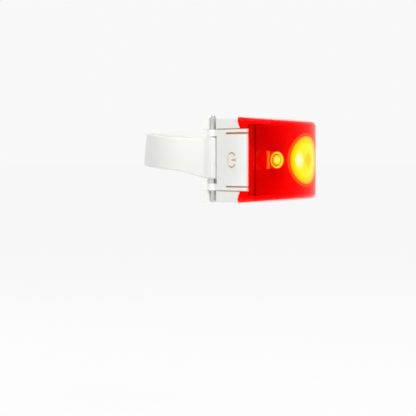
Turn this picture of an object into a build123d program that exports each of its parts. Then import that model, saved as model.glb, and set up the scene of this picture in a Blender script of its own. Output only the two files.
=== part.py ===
from build123d import *
import os
from math import atan, cos, degrees, hypot, radians, sin, sqrt, tan

os.makedirs("parts", exist_ok=True)

# A clip-on rear light. The origin lies on the axis of the round tube that the strap grips,
# level with the middle of the head. The light shines along -Y, +Z is up, the button side is -X.
# "Forward" is measured along -Y, "side" is measured away from the middle plane.

# What the strap and the saddle grip
grip_radius = 15.8
grip_tilt = 5.7
grip_clearance = 0.35
pad_thickness = 1.2
pad_width = 16.4
pad_height = 25.0
pad_seat_clearance = 0.05

# Head outline, seen from above
head_back = grip_radius + pad_thickness
body_height = 31.2
start_ahead = 1.6
start_width = 28.8
shoulder_ahead = 14.0
shoulder_width = 41.0
crease_ahead = 20.9
crease_step = 0.42
nose_ahead = 32.5
body_edge_radius = 0.9
overrun = 5.0

# Lens
lens_wall = 2.0
lens_nose_drop = 1.7
lens_edge_radius = 1.9
crease_radius = 1.0
parting_ahead = 13.5
parting_slant = 1.5
parting_gap = 0.12

# Rear housing
spigot_clearance = 0.15
spigot_wall = 1.4
spigot_front_ahead = 17.6
spigot_overlap = 2.4
cavity_back_ahead = 3.7
cavity_wall = 1.05

# Side plates, which lie in recesses of the housing
plate_thickness = 1.6
plate_height = 22.4
plate_front_ahead = 18.45
plate_gap = 0.35
plate_edge_gap = 0.15
plate_lens_gap = 0.3
notch_clearance = 0.3
notch_front_ahead = 1.5
tongue_margin = 1.68
slit_width = 0.36
tongue_root_ahead = 7.4
press_depth = 0.55

# Pins, and the hooks that hold their ends
pin_radius = 0.95
pin_setback = 0.7
pin_cover = 1.8
pin_end_inset = 0.4
pin_end_rise = 0.8
pin_bevel = 0.2
pin_bore_clearance = 0.05
pin_slot_clearance = 0.15
hook_lip = 2.9
hook_cover = 1.4
slot_width = 3.4
knuckle_radius = 2.2
knuckle_back = 2.4
knuckle_cover = 1.7
pocket_clearance = 0.5
pocket_front_ahead = 2.7

# Strap
strap_thickness = 2.4
strap_width = 12.3
strap_rise = 2.5
strap_eye_width = 15.3
strap_eye_rise = 0.75
strap_eye_clearance = 0.1
strap_eye_wall = 1.2

# Power button, its mark and its switch
mark_radius = 2.85
mark_stroke = 0.45
mark_depth = 0.25
mark_ahead = 10.6
mark_dash = 2.7
mark_gap_angle = 35.0
nub_radius = 0.9
nub_gap = 0.1
axle_line_ahead = 15.1
seal_radius = 1.9
seal_thickness = 0.5
seal_hole_radius = 1.35
seal_seat_clearance = 0.05
switch_length = 4.4
switch_height = 6.0
switch_depth = 3.5
plunger_radius = 0.8
plunger_seat = 0.8
plunger_clearance = 0.05
plunger_gap = 0.1

# Charging port, under the flap of the far side
port_width = 8.94
port_thickness = 3.26
port_depth = 6.9
port_wall = 0.3
port_setback = 0.5
port_opening_clearance = 0.35
port_tongue_thickness = 0.7
port_tongue_width = 6.7
port_tongue_depth = 4.9
flap_plug_depth = 0.6
flap_plug_width = 7.2
flap_plug_thickness = 1.4
flap_grip_width = 6.0
flap_grip_length = 1.2
flap_grip_height = 0.35

# Boards, optics and light sources
board_thickness = 1.0
led_board_front_ahead = 18.2
led_board_margin = 1.5
led_board_gap = 0.3
reflector_gap = 0.5
reflector_thickness = 1.0
reflector_clearance = 0.3
led_window_radius = 3.9
side_window_radius = 2.3
main_led_size = 5.0
main_led_base_height = 1.0
main_led_dome_radius = 2.1
optic_gap = 0.35
main_optic_rim = 3.0
main_optic_well_depth = 3.2
side_optic_setback = 2.0
side_optic_turn = 22.0
side_optic_groove = 0.6
side_optic_ring_wall = 0.6
side_well_depth = 1.5
side_led_size = 2.8
side_led_height = 0.7
side_led_dome_radius = 0.9

# The optics fill the lens's width, so they are shares of its half width inside
main_optic_share = 0.465
main_optic_back_share = 0.296
main_optic_well_share = 0.169
side_optic_place_share = 0.62
side_optic_share = 0.1665
side_optic_dome_share = 0.103
side_optic_well_share = 0.09

# Gasket between lens and housing
gasket_thickness = 0.8
gasket_width = 1.3

# Tray, control board, battery
control_board_front_ahead = 13.0
control_board_side_gap = 2.0
control_board_gap = 0.7
tray_thickness = 1.0
tray_gap = 0.2
tray_wall_gap = 0.3
boss_radius = 1.7
boss_inset = 2.4
screw_radius = 0.6
screw_head_radius = 1.1
screw_head_height = 0.4
screw_length = 3.6
screw_clearance = 0.1
battery_side_gap = 1.8
battery_top_gap = 0.9
battery_depth = 5.0
battery_edge = 0.8
battery_clearance = 0.3
foam_clearance = 0.1
chip_row_inset = 5.8
chip_gap = 1.9
chip_size = 4.0
chip_height = 0.9
coil_radius = 2.0
coil_height = 1.8
capacitor_length = 1.6
capacitor_width = 0.8
header_length = 5.0
header_width = 2.0
plug_length = 5.0
plug_width = 3.4
plug_height = 2.6
plug_boss_gap = 0.25
lead_radius = 0.5
lead_spacing = 1.6
lead_bend = 1.0
lead_drop = 1.5
lead_slot_clearance = 0.3
lead_slot_edge = 0.3

# Places worked out from the sizes above
body_half = body_height / 2
start_forward = head_back + start_ahead
start_side = start_width / 2
shoulder_forward = head_back + shoulder_ahead
shoulder_side = shoulder_width / 2
crease_forward = head_back + crease_ahead
nose_forward = head_back + nose_ahead
nose_depth = nose_forward - crease_forward
crease_side = shoulder_side + crease_step
nose_radius = (crease_side**2 + nose_depth**2) / (2 * nose_depth)
nose_centre = nose_forward - nose_radius
flare = atan((shoulder_side - start_side) / (shoulder_forward - start_forward))
taper = atan((crease_side - shoulder_side) / (crease_forward - shoulder_forward))

parting_forward = head_back + parting_ahead
lens_slope = lens_nose_drop / (nose_forward - parting_forward)
plate_half = plate_height / 2
plate_front = head_back + plate_front_ahead
recess_half = plate_half + plate_edge_gap
recess_depth = plate_thickness + plate_gap
lens_side_back = plate_front + plate_lens_gap
notch_half = strap_eye_width / 2 + strap_eye_rise + notch_clearance
notch_front = head_back + notch_front_ahead
tongue_half = plate_half - tongue_margin
tongue_root = head_back + tongue_root_ahead
pocket_depth = recess_depth + press_depth

pin_forward = head_back - pin_setback
pin_side = start_side - pin_cover
slot_back = pin_forward - pin_radius - pin_slot_clearance
slot_front = slot_back + slot_width
slot_floor = pin_side - pin_radius - pin_slot_clearance
hook_back = slot_back - hook_lip
hook_side = pin_side + hook_cover
knuckle_pocket_front = head_back + pocket_front_ahead
knuckle_pocket_side = pin_side - knuckle_radius - pocket_clearance

spigot_inset = lens_wall + spigot_clearance
spigot_front = head_back + spigot_front_ahead
gasket_front = spigot_front + gasket_thickness
spigot_half = body_half - spigot_inset - lens_slope * (gasket_front - parting_forward)
cavity_inset = spigot_inset + spigot_wall
cavity_back = head_back + cavity_back_ahead
cavity_half = spigot_half - cavity_wall

axle_forward = head_back + axle_line_ahead
led_board_front = head_back + led_board_front_ahead
led_board_back = led_board_front - board_thickness
reflector_back = led_board_front + reflector_gap
reflector_front = reflector_back + reflector_thickness
control_front = head_back + control_board_front_ahead
control_back = control_front - board_thickness
tray_front = control_back - tray_gap
tray_back = tray_front - tray_thickness
battery_back = cavity_back + battery_clearance
battery_front = battery_back + battery_depth

tilt = radians(grip_tilt)
grip_plane = Plane(origin=(0, 0, 0), x_dir=(1, 0, 0), z_dir=(0, -sin(tilt), cos(tilt)))


# Helpers for the outline

def at(forward, side):
    """A point of the plan, as x and y."""
    return (side, -forward)


def side_at(forward, inset):
    """How far the outline, moved inward by inset, stands from the middle plane."""
    flare_side = start_side + (forward - start_forward) * tan(flare) - inset / cos(flare)
    taper_side = shoulder_side + (forward - shoulder_forward) * tan(taper) - inset / cos(taper)
    return min(flare_side, taper_side)


def shoulder(inset):
    """Where the flared side turns into the nearly straight one."""
    lag = inset * (1 / cos(taper) - 1 / cos(flare)) / (tan(flare) - tan(taper))
    forward = shoulder_forward - lag
    return (forward, side_at(forward, inset))


def crease(inset):
    """Where the side meets the curved nose."""
    radius = nose_radius - inset
    level = shoulder_side + (nose_centre - shoulder_forward) * tan(taper) - inset / cos(taper)
    square = 1 + tan(taper) ** 2
    ahead = (sqrt(square * radius**2 - level**2) - level * tan(taper)) / square
    return (nose_centre + ahead, level + ahead * tan(taper))


def half_outline(inset, back, front):
    """One side of the outline, from the back forward."""
    points = [(back, side_at(back, inset))]
    if back < shoulder(inset)[0] < front:
        points.append(shoulder(inset))
    if front < crease(inset)[0]:
        points.append((front, side_at(front, inset)))
    else:
        points.append(crease(inset))
    return points


def head_plan(inset, back, front, mode=Mode.ADD):
    """Plan of the whole head between two distances, moved inward by inset."""
    half = half_outline(inset, back, front)
    far = [at(forward, side) for forward, side in half]
    near = [at(forward, -side) for forward, side in half]
    with BuildLine() as edge:
        Polyline(*far)
        Polyline(*near)
        Line(far[0], near[0])
        if front < crease(inset)[0]:
            Line(far[-1], near[-1])
        else:
            ThreePointArc(far[-1], at(nose_forward - inset, 0), near[-1])
    make_face(edge.edges(), mode=mode)


def skin_plan(outer, inner, back, front, hand, mode=Mode.ADD):
    """Plan of a skin between two depths on one side; hand is -1 near, 1 far."""
    out = half_outline(outer, back, front)
    within = half_outline(inner, back, front)
    points = [at(forward, hand * side) for forward, side in out + within[::-1]]
    with BuildLine() as edge:
        Polyline(*points, close=True)
    make_face(edge.edges(), mode=mode)


def block(forward_back, forward_front, side_low, side_high, mode=Mode.ADD):
    """Rectangle of the plan between two distances and two sides."""
    with BuildLine() as edge:
        Polyline(
            at(forward_back, side_low),
            at(forward_front, side_low),
            at(forward_front, side_high),
            at(forward_back, side_high),
            close=True,
        )
    make_face(edge.edges(), mode=mode)


def profile(points, mode=Mode.ADD):
    """Closed outline seen from the side, from forward distances and heights."""
    with BuildLine() as edge:
        Polyline(*[(-forward, height) for forward, height in points], close=True)
    make_face(edge.edges(), mode=mode)


def mirrored(points):
    """The points, and then the same ones below the middle, in turn."""
    return points + [(forward, -height) for forward, height in points[::-1]]


def front_plane(forward):
    """Plane square to the light's axis, facing forward, with x towards the far side."""
    return Plane(origin=(0, -forward, 0), x_dir=(1, 0, 0), z_dir=(0, -1, 0))


def side_plane(forward, side, hand):
    """Plane facing outward on one side, with its x forward and its y up or down."""
    return Plane(origin=(hand * side, -forward, 0), x_dir=(0, -1, 0), z_dir=(hand, 0, 0))


def flank_plane(forward, depth, hand):
    """Plane lying on the flared side, facing outward, moved inward by depth."""
    outward = (hand * cos(flare), sin(flare), 0)
    along = (hand * sin(flare), -cos(flare), 0)
    side = hand * (side_at(forward, 0))
    origin = (side - depth * outward[0], -forward - depth * outward[1], 0)
    return Plane(origin=origin, x_dir=along, z_dir=outward)


def save(piece, name):
    """Label a finished piece and write it."""
    piece.part.label = name
    export_step(piece.part, f"parts/{name}.step")


# Rear housing: saddle, hooks, recesses for the side plates and a sleeve for the lens

with BuildPart() as rear_housing:
    with BuildSketch():
        block(hook_back, start_forward, -hook_side, hook_side)
        head_plan(0, start_forward, parting_forward + parting_slant - parting_gap)
    extrude(amount=body_half, both=True)
    with BuildSketch():
        for hand in (-1, 1):
            inner, outer = sorted((hand * slot_floor, hand * shoulder_width))
            block(slot_back, slot_front, inner, outer)
    extrude(amount=body_height, both=True, mode=Mode.SUBTRACT)
    flank_rims = rear_housing.edges().filter_by(
        lambda edge: abs(edge.center().X) > start_side and abs(edge.center().Z) > recess_half
    )
    fillet(flank_rims, body_edge_radius)
    with BuildSketch(Plane.YZ):
        front = parting_forward - parting_gap
        slanted = front + parting_slant
        profile(
            [(slanted, recess_half), (front, body_half), (nose_forward, body_half)]
        )
        profile(
            [(slanted, -recess_half), (front, -body_half), (nose_forward, -body_half)]
        )
    extrude(amount=shoulder_width, both=True, mode=Mode.SUBTRACT)
    with BuildSketch():
        head_plan(spigot_inset, parting_forward - spigot_overlap, spigot_front)
    extrude(amount=spigot_half, both=True)
    with BuildSketch():
        head_plan(cavity_inset, cavity_back, spigot_front + overrun)
    extrude(amount=cavity_half, both=True, mode=Mode.SUBTRACT)
    with BuildSketch():
        for hand in (-1, 1):
            skin_plan(-overrun, recess_depth, start_forward, spigot_front + overrun, hand)
            inner, outer = sorted((hand * knuckle_pocket_side, hand * shoulder_width))
            block(hook_back - overrun, knuckle_pocket_front, inner, outer)
    extrude(amount=recess_half, both=True, mode=Mode.SUBTRACT)
    with BuildSketch():
        for hand in (-1, 1):
            skin_plan(0, pocket_depth, tongue_root, spigot_front + overrun, hand)
    extrude(amount=tongue_half + slit_width, both=True, mode=Mode.SUBTRACT)
    with BuildSketch(grip_plane):
        Circle(grip_radius + grip_clearance)
    extrude(amount=body_height, both=True, mode=Mode.SUBTRACT)
    with BuildSketch(grip_plane):
        Circle(grip_radius + pad_thickness + pad_seat_clearance)
        seat_width = pad_width + 2 * pad_seat_clearance
        Rectangle(seat_width, 2 * nose_forward, mode=Mode.INTERSECT)
    extrude(amount=body_height, both=True, mode=Mode.SUBTRACT)
    # openings for the button's membrane and the charging port
    with BuildSketch(side_plane(axle_forward, 0, -1)):
        Circle(seal_hole_radius)
    extrude(amount=shoulder_width, mode=Mode.SUBTRACT)
    seal_face = side_at(axle_forward, pocket_depth)
    with BuildSketch(side_plane(axle_forward, seal_face - seal_thickness, -1)):
        Circle(seal_radius + seal_seat_clearance)
    extrude(amount=shoulder_width, mode=Mode.SUBTRACT)
    port_forward = control_front + port_thickness / 2
    with BuildSketch(side_plane(port_forward, 0, 1)):
        opening_height = port_width + 2 * port_opening_clearance
        SlotOverall(opening_height, port_thickness + 2 * port_opening_clearance, rotation=90)
    extrude(amount=shoulder_width, mode=Mode.SUBTRACT)
save(rear_housing, "rear_housing")


# Lens: a curved cover with corners that reach back above and below the side plates

def lens_body(inset, back):
    """Solid of the lens's outer or inner form in the current part."""
    with BuildSketch() as plan:
        head_plan(inset, back, nose_forward)
    extrude(plan.sketch, amount=body_height, both=True)
    nose_half = body_half - lens_nose_drop - inset
    back_half = body_half - inset + (parting_forward - back) * lens_slope
    with BuildSketch(Plane.YZ) as plan:
        profile(mirrored([(back, back_half), (nose_forward, nose_half)]))
    extrude(plan.sketch, amount=shoulder_width, both=True, mode=Mode.INTERSECT)


with BuildPart() as lens_hollow:
    lens_body(lens_wall, parting_forward - overrun)

with BuildPart() as lens:
    lens_body(0, parting_forward)
    uprights = lens.edges().filter_by(Axis.Z).filter_by(
        lambda edge: abs(edge.center().Y + crease_forward) < crease_radius
    )
    fillet(uprights, crease_radius)
    rims = lens.edges().filter_by(Axis.Z, reverse=True).filter_by(Axis.X, reverse=True)
    fillet(rims, lens_edge_radius)
    add(lens_hollow.part, mode=Mode.SUBTRACT)
    with BuildSketch(Plane.YZ):
        slanted = parting_forward + parting_slant
        profile(
            mirrored(
                [
                    (parting_forward - overrun, body_half + overrun),
                    (parting_forward, body_half + overrun),
                    (parting_forward, body_half),
                    (slanted, recess_half),
                    (lens_side_back, recess_half),
                ]
            )
        )
    extrude(amount=shoulder_width, both=True, mode=Mode.SUBTRACT)
save(lens, "lens")


# Gasket on the sleeve's front edge

with BuildPart() as lens_gasket:
    with BuildSketch():
        head_plan(spigot_inset, spigot_front, gasket_front)
    extrude(amount=spigot_half, both=True)
    with BuildSketch():
        head_plan(spigot_inset + gasket_width, cavity_back, crease_forward - gasket_width)
    extrude(amount=spigot_half - gasket_width, both=True, mode=Mode.SUBTRACT)
save(lens_gasket, "lens_gasket")


# Side plates: a curved skin, and two arms with a knuckle each on the pin

def knuckle_plan(hand):
    """Plan of an arm's end round the pin."""
    with Locations(at(pin_forward, hand * pin_side)):
        Circle(knuckle_radius)
    joint_forward = start_forward + knuckle_back
    points = [
        (pin_forward - knuckle_radius, pin_side),
        (pin_forward - knuckle_back, pin_side + knuckle_cover),
        (start_forward, start_side),
        (joint_forward, side_at(joint_forward, 0)),
        (joint_forward, side_at(joint_forward, plate_thickness)),
        (pin_forward + knuckle_radius, pin_side),
    ]
    with BuildLine() as edge:
        Polyline(*[at(forward, hand * side) for forward, side in points], close=True)
    make_face(edge.edges())


def side_plate(hand):
    """Plate with its arms, slits and the gap for its tongue."""
    with BuildSketch() as plan:
        skin_plan(0, plate_thickness, notch_front + knuckle_back, plate_front, hand)
    extrude(plan.sketch, amount=plate_half, both=True)
    with BuildSketch() as plan:
        skin_plan(0, plate_thickness, start_forward, start_forward + overrun, hand)
        knuckle_plan(hand)
    extrude(plan.sketch, amount=plate_half, both=True)
    with BuildSketch() as plan:
        strap_front = notch_front + pocket_clearance
        inner, outer = sorted((0, hand * shoulder_width))
        block(hook_back - overrun, strap_front, inner, outer)
    extrude(plan.sketch, amount=notch_half, both=True, mode=Mode.SUBTRACT)
    with BuildSketch() as plan:
        with Locations(at(pin_forward, hand * pin_side)):
            Circle(pin_radius + pin_bore_clearance)
    extrude(plan.sketch, amount=body_height, both=True, mode=Mode.SUBTRACT)
    with BuildSketch() as plan:
        skin_plan(-overrun, pocket_depth, tongue_root, plate_front + overrun, hand)
    extrude(plan.sketch, amount=tongue_half + slit_width, both=True, mode=Mode.SUBTRACT)


with BuildPart() as button_plate:
    side_plate(-1)
save(button_plate, "button_plate")

with BuildPart() as far_plate:
    side_plate(1)
save(far_plate, "far_plate")


# Power button: the tongue between the slits, with a nub that reaches the membrane

def tongue(hand):
    """Tongue of one side plate."""
    with BuildSketch() as plan:
        skin_plan(0, plate_thickness, tongue_root, plate_front, hand)
    extrude(plan.sketch, amount=tongue_half, both=True)


def mark_sketch():
    """Power symbol: an open ring and a dash that points forward."""
    Circle(mark_radius)
    Circle(mark_radius - mark_stroke, mode=Mode.SUBTRACT)
    reach = 2 * mark_radius
    spread = reach * tan(radians(mark_gap_angle))
    with BuildLine() as edge:
        Polyline((0, 0), (reach, spread), (reach, -spread), close=True)
    make_face(edge.edges(), mode=Mode.SUBTRACT)
    with Locations((mark_dash / 2, 0)):
        SlotOverall(mark_dash, mark_stroke)


mark_forward = head_back + mark_ahead
nub_face = seal_face + nub_gap
with BuildPart() as power_button:
    tongue(-1)
    with BuildSketch(side_plane(axle_forward, nub_face, -1)):
        Circle(nub_radius)
    extrude(until=Until.NEXT)
    with BuildSketch(flank_plane(mark_forward, mark_depth, -1)):
        mark_sketch()
    extrude(amount=overrun, mode=Mode.SUBTRACT)
save(power_button, "power_button")

with BuildPart() as power_mark:
    with BuildSketch(flank_plane(mark_forward, mark_depth, -1)):
        mark_sketch()
    extrude(amount=mark_depth)
save(power_mark, "power_mark")

with BuildPart() as button_seal:
    with BuildSketch(side_plane(axle_forward, seal_face - seal_thickness, -1)):
        Circle(seal_radius)
    extrude(amount=seal_thickness)
save(button_seal, "button_seal")


# Port flap: the far side's tongue, with a shallow plug and a finger lip

with BuildPart() as port_flap:
    tongue(1)
    plug_face = side_at(port_forward, plate_thickness)
    with BuildSketch(side_plane(port_forward, plug_face - flap_plug_depth - plate_gap, 1)):
        SlotOverall(flap_plug_width, flap_plug_thickness, rotation=90)
    extrude(until=Until.NEXT)
    grip_forward = plate_front - 2 * flap_grip_length
    grip_face = side_at(grip_forward, flap_grip_height)
    with BuildSketch(side_plane(grip_forward, grip_face, 1)):
        SlotOverall(flap_grip_width, flap_grip_length, rotation=90)
    extrude(amount=2 * flap_grip_height)
save(port_flap, "port_flap")


# Pins

def pin(hand):
    """Steel pin with bevelled ends."""
    with BuildSketch(Plane.XY.offset(pin_end_inset - body_half)) as plan:
        with Locations(at(pin_forward, hand * pin_side)):
            Circle(pin_radius)
    extrude(plan.sketch, amount=body_height - pin_end_inset + pin_end_rise)


with BuildPart() as hook_pin:
    pin(-1)
    chamfer(hook_pin.edges().filter_by(GeomType.CIRCLE), pin_bevel)
save(hook_pin, "hook_pin")

with BuildPart() as anchor_pin:
    pin(1)
    chamfer(anchor_pin.edges().filter_by(GeomType.CIRCLE), pin_bevel)
save(anchor_pin, "anchor_pin")


# Strap: a band round the tube, then an arm to an eye on each pin

strap_middle = grip_radius + strap_thickness / 2
pin_reach = hypot(pin_forward, pin_side)
pin_angle = degrees(atan(pin_side / pin_forward))
leave_angle = pin_angle + degrees(atan(sqrt(pin_reach**2 - strap_middle**2) / strap_middle))
eye_radius = pin_radius + strap_eye_clearance + strap_eye_wall


def band_section(turn):
    """Plane across the band, turned about the tube's axis from straight ahead."""
    spot = radians(turn)
    across = Vector(sin(spot), -cos(spot), 0)
    return Plane(
        origin=grip_plane.from_local_coords(across * strap_middle + Vector(0, 0, strap_rise)),
        x_dir=grip_plane.from_local_coords(across) - grip_plane.origin,
        z_dir=grip_plane.from_local_coords(Vector(cos(spot), sin(spot), 0)) - grip_plane.origin,
    )


def eye_section(hand):
    """Plane across the strap at its eye, square to the arm."""
    spot = radians(leave_angle)
    across = (hand * sin(spot), -cos(spot), 0)
    along = (cos(spot), hand * sin(spot), 0)
    return Plane(
        origin=(hand * pin_side, -pin_forward, strap_eye_rise), x_dir=across, z_dir=along
    )


with BuildPart() as strap:
    with BuildSketch(band_section(leave_angle)):
        Rectangle(strap_thickness, strap_width)
    revolve(
        axis=Axis((0, 0, 0), grip_plane.z_dir),
        revolution_arc=360 - 2 * leave_angle,
    )
    for hand in (-1, 1):
        with BuildSketch(band_section(hand * leave_angle)):
            Rectangle(strap_thickness, strap_width)
        with BuildSketch(eye_section(hand)):
            Rectangle(strap_thickness, strap_eye_width)
        loft(ruled=True)
    with BuildSketch(Plane.XY.offset(strap_eye_rise)):
        with Locations(at(pin_forward, pin_side), at(pin_forward, -pin_side)):
            Circle(eye_radius)
    extrude(amount=strap_eye_width / 2, both=True)
    with BuildSketch(Plane.XY.offset(strap_eye_rise)):
        with Locations(at(pin_forward, pin_side), at(pin_forward, -pin_side)):
            Circle(pin_radius + strap_eye_clearance)
    extrude(amount=strap_eye_width, both=True, mode=Mode.SUBTRACT)
save(strap, "strap")


# Saddle pad

with BuildPart() as saddle_pad:
    with BuildSketch(grip_plane):
        Circle(grip_radius + pad_thickness)
        Circle(grip_radius, mode=Mode.SUBTRACT)
        with Locations((0, -head_back)):
            Rectangle(pad_width, 2 * head_back, mode=Mode.INTERSECT)
    extrude(amount=pad_height / 2, both=True)
save(saddle_pad, "saddle_pad")


# Light engine: board, light sources, pale plate and optics

turn = radians(side_optic_turn)
optic_room = crease_side - lens_wall
side_optic_side = optic_room * side_optic_place_share
side_optic_radius = optic_room * side_optic_share
lens_ahead = sqrt((nose_radius - lens_wall) ** 2 - side_optic_side**2)
optic_forward = nose_centre + lens_ahead - side_optic_setback
side_led_side = side_optic_side - (optic_forward - reflector_front) * tan(turn)
main_optic_radius = optic_room * main_optic_share
board_half_width = side_led_side + side_led_size / 2 + led_board_margin
board_half_height = cavity_half - led_board_gap
boss_side = board_half_width - boss_inset
boss_height = board_half_height - boss_inset
boss_spots = [(x, y) for x in (-boss_side, boss_side) for y in (-boss_height, boss_height)]

with BuildPart() as led_board:
    with BuildSketch(front_plane(led_board_back)):
        Rectangle(2 * board_half_width, 2 * board_half_height)
        with Locations(*boss_spots):
            Circle(screw_radius + screw_clearance, mode=Mode.SUBTRACT)
    extrude(amount=board_thickness)
save(led_board, "led_board")

with BuildPart() as main_led_base:
    with BuildSketch(front_plane(led_board_front)):
        Rectangle(main_led_size, main_led_size)
    extrude(amount=main_led_base_height)
save(main_led_base, "main_led_base")

dome_front = led_board_front + main_led_base_height
with BuildPart() as main_led_dome:
    with Locations(front_plane(dome_front)):
        Sphere(main_led_dome_radius, arc_size1=0, align=None)
save(main_led_dome, "main_led_dome")

with BuildPart() as side_leds:
    for hand in (-1, 1):
        with BuildSketch(front_plane(led_board_front)):
            with Locations((hand * side_led_side, 0)):
                Rectangle(side_led_size, side_led_size)
        extrude(amount=side_led_height)
        with BuildSketch(front_plane(led_board_front + side_led_height)):
            with Locations((hand * side_led_side, 0)):
                Circle(side_led_dome_radius)
        extrude(amount=side_led_height)
save(side_leds, "side_leds")

with BuildPart() as inner_reflector:
    with BuildSketch():
        head_plan(lens_wall + reflector_clearance, reflector_back, nose_forward)
        reach = crease_side
        block(reflector_back, reflector_front, -reach, reach, mode=Mode.INTERSECT)
    drop = lens_slope * (reflector_front - parting_forward)
    extrude(amount=body_half - lens_wall - drop - reflector_clearance, both=True)
    with BuildSketch(front_plane(reflector_back)):
        Circle(led_window_radius)
        with Locations((side_led_side, 0), (-side_led_side, 0)):
            Circle(side_window_radius)
    extrude(amount=reflector_thickness, mode=Mode.SUBTRACT)
save(inner_reflector, "inner_reflector")

rim_back = nose_forward - lens_wall - optic_gap - main_optic_rim
with BuildPart() as main_optic:
    with BuildSketch(Plane.YZ):
        profile(
            [
                (reflector_front, 0),
                (reflector_front, optic_room * main_optic_back_share),
                (rim_back, main_optic_radius),
                (nose_forward, main_optic_radius),
                (nose_forward, 0),
            ]
        )
    revolve(axis=Axis.Y, revolution_arc=360)
    with BuildSketch():
        with Locations(at(nose_centre, 0)):
            Circle(nose_radius - lens_wall - optic_gap)
    extrude(amount=body_half, both=True, mode=Mode.INTERSECT)
    with BuildSketch(front_plane(reflector_front)):
        Circle(optic_room * main_optic_well_share)
    extrude(amount=main_optic_well_depth, mode=Mode.SUBTRACT)
save(main_optic, "main_optic")

with BuildPart() as side_optics:
    for hand in (-1, 1):
        face = Plane(
            origin=(hand * side_optic_side, -optic_forward, 0),
            x_dir=(cos(turn), hand * sin(turn), 0),
            z_dir=(hand * sin(turn), -cos(turn), 0),
        )
        with BuildSketch(face):
            Circle(side_optic_radius)
        extrude(amount=-optic_forward)
        with BuildSketch(face):
            Circle(side_optic_radius - side_optic_ring_wall)
            Circle(optic_room * side_optic_dome_share, mode=Mode.SUBTRACT)
        extrude(amount=-side_optic_groove, mode=Mode.SUBTRACT)
    with BuildSketch():
        block(0, reflector_front, -shoulder_width, shoulder_width)
    extrude(amount=body_half, both=True, mode=Mode.SUBTRACT)
    with BuildSketch(front_plane(reflector_front)):
        with Locations((side_led_side, 0), (-side_led_side, 0)):
            Circle(optic_room * side_optic_well_share)
    extrude(amount=side_well_depth, mode=Mode.SUBTRACT)
save(side_optics, "side_optics")

with BuildPart() as board_screws:
    with BuildSketch(front_plane(led_board_front)):
        with Locations(*boss_spots):
            Circle(screw_head_radius)
    extrude(amount=screw_head_height)
    with BuildSketch(front_plane(led_board_front - screw_length)):
        with Locations(*boss_spots):
            Circle(screw_radius)
    extrude(amount=screw_length)
save(board_screws, "board_screws")


# Tray with four bosses, and the control board that lies on it

tray_half = cavity_half - tray_wall_gap
plug_side = boss_side - boss_radius - plug_length / 2 - plug_boss_gap
lead_slot_width = lead_spacing + 2 * (lead_radius + lead_slot_clearance)
lead_slot_height = 2 * (lead_radius + lead_slot_clearance)
lead_height = lead_slot_edge + lead_slot_height / 2 - tray_half
battery_bottom = lead_height + lead_drop
with BuildPart() as inner_chassis:
    with BuildSketch():
        head_plan(cavity_inset + tray_wall_gap, tray_back, tray_front)
    extrude(amount=tray_half, both=True)
    with BuildSketch(front_plane(tray_front)):
        with Locations(*boss_spots):
            Circle(boss_radius)
    extrude(amount=led_board_back - tray_front)
    with BuildSketch(front_plane(led_board_front - screw_length - screw_clearance)):
        with Locations(*boss_spots):
            Circle(screw_radius + screw_clearance / 2)
    extrude(amount=screw_length, mode=Mode.SUBTRACT)
    with BuildSketch(front_plane(tray_back)):
        with Locations((-plug_side, lead_height)):
            Rectangle(lead_slot_width, lead_slot_height)
    extrude(amount=tray_thickness, mode=Mode.SUBTRACT)
save(inner_chassis, "inner_chassis")

control_half_width = side_at(control_back, cavity_inset) - control_board_side_gap
control_half_height = cavity_half - control_board_gap
with BuildPart() as control_board:
    with BuildSketch(front_plane(control_back)):
        Rectangle(2 * control_half_width, 2 * control_half_height)
        with Locations(*boss_spots):
            Circle(boss_radius + screw_clearance, mode=Mode.SUBTRACT)
        with Locations((-plug_side, lead_height)):
            Rectangle(lead_slot_width, lead_slot_height, mode=Mode.SUBTRACT)
    extrude(amount=board_thickness)
save(control_board, "control_board")

port_face = side_at(port_forward, cavity_inset) - port_setback
with BuildPart() as usb_port_shell:
    with BuildSketch(side_plane(port_forward, port_face, 1)):
        SlotOverall(port_width, port_thickness, rotation=90)
    extrude(amount=-port_depth)
    with BuildSketch(side_plane(port_forward, port_face, 1)):
        inner_width = port_width - 2 * port_wall
        SlotOverall(inner_width, port_thickness - 2 * port_wall, rotation=90)
    extrude(amount=port_wall - port_depth, mode=Mode.SUBTRACT)
save(usb_port_shell, "usb_port_shell")

with BuildPart() as usb_port_tongue:
    with BuildSketch(side_plane(port_forward, port_face - port_depth + port_wall, 1)):
        Rectangle(port_tongue_thickness, port_tongue_width)
    extrude(amount=port_tongue_depth)
save(usb_port_tongue, "usb_port_tongue")

switch_front = side_at(control_front, cavity_inset) - tray_gap
switch_forward = control_front + switch_depth / 2
seal_back = seal_face - seal_thickness
with BuildPart() as switch_body:
    with BuildSketch(side_plane(switch_forward, switch_front, -1)):
        Rectangle(switch_depth, switch_height)
    extrude(amount=-switch_length)
    with BuildSketch(side_plane(axle_forward, switch_front - plunger_seat, -1)):
        Circle(plunger_radius + plunger_clearance)
    extrude(amount=overrun, mode=Mode.SUBTRACT)
save(switch_body, "switch_body")

plunger_back = switch_front - plunger_seat / 2
with BuildPart() as switch_plunger:
    with BuildSketch(side_plane(axle_forward, plunger_back, -1)):
        Circle(plunger_radius)
    extrude(amount=seal_back - plunger_gap - plunger_back)
save(switch_plunger, "switch_plunger")


def board_piece(name, places, height, shape):
    """Small flat parts standing on the front of the control board."""
    with BuildPart() as piece:
        with BuildSketch(front_plane(control_front)):
            with Locations(*places):
                shape()
        extrude(amount=height)
    save(piece, name)


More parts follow.
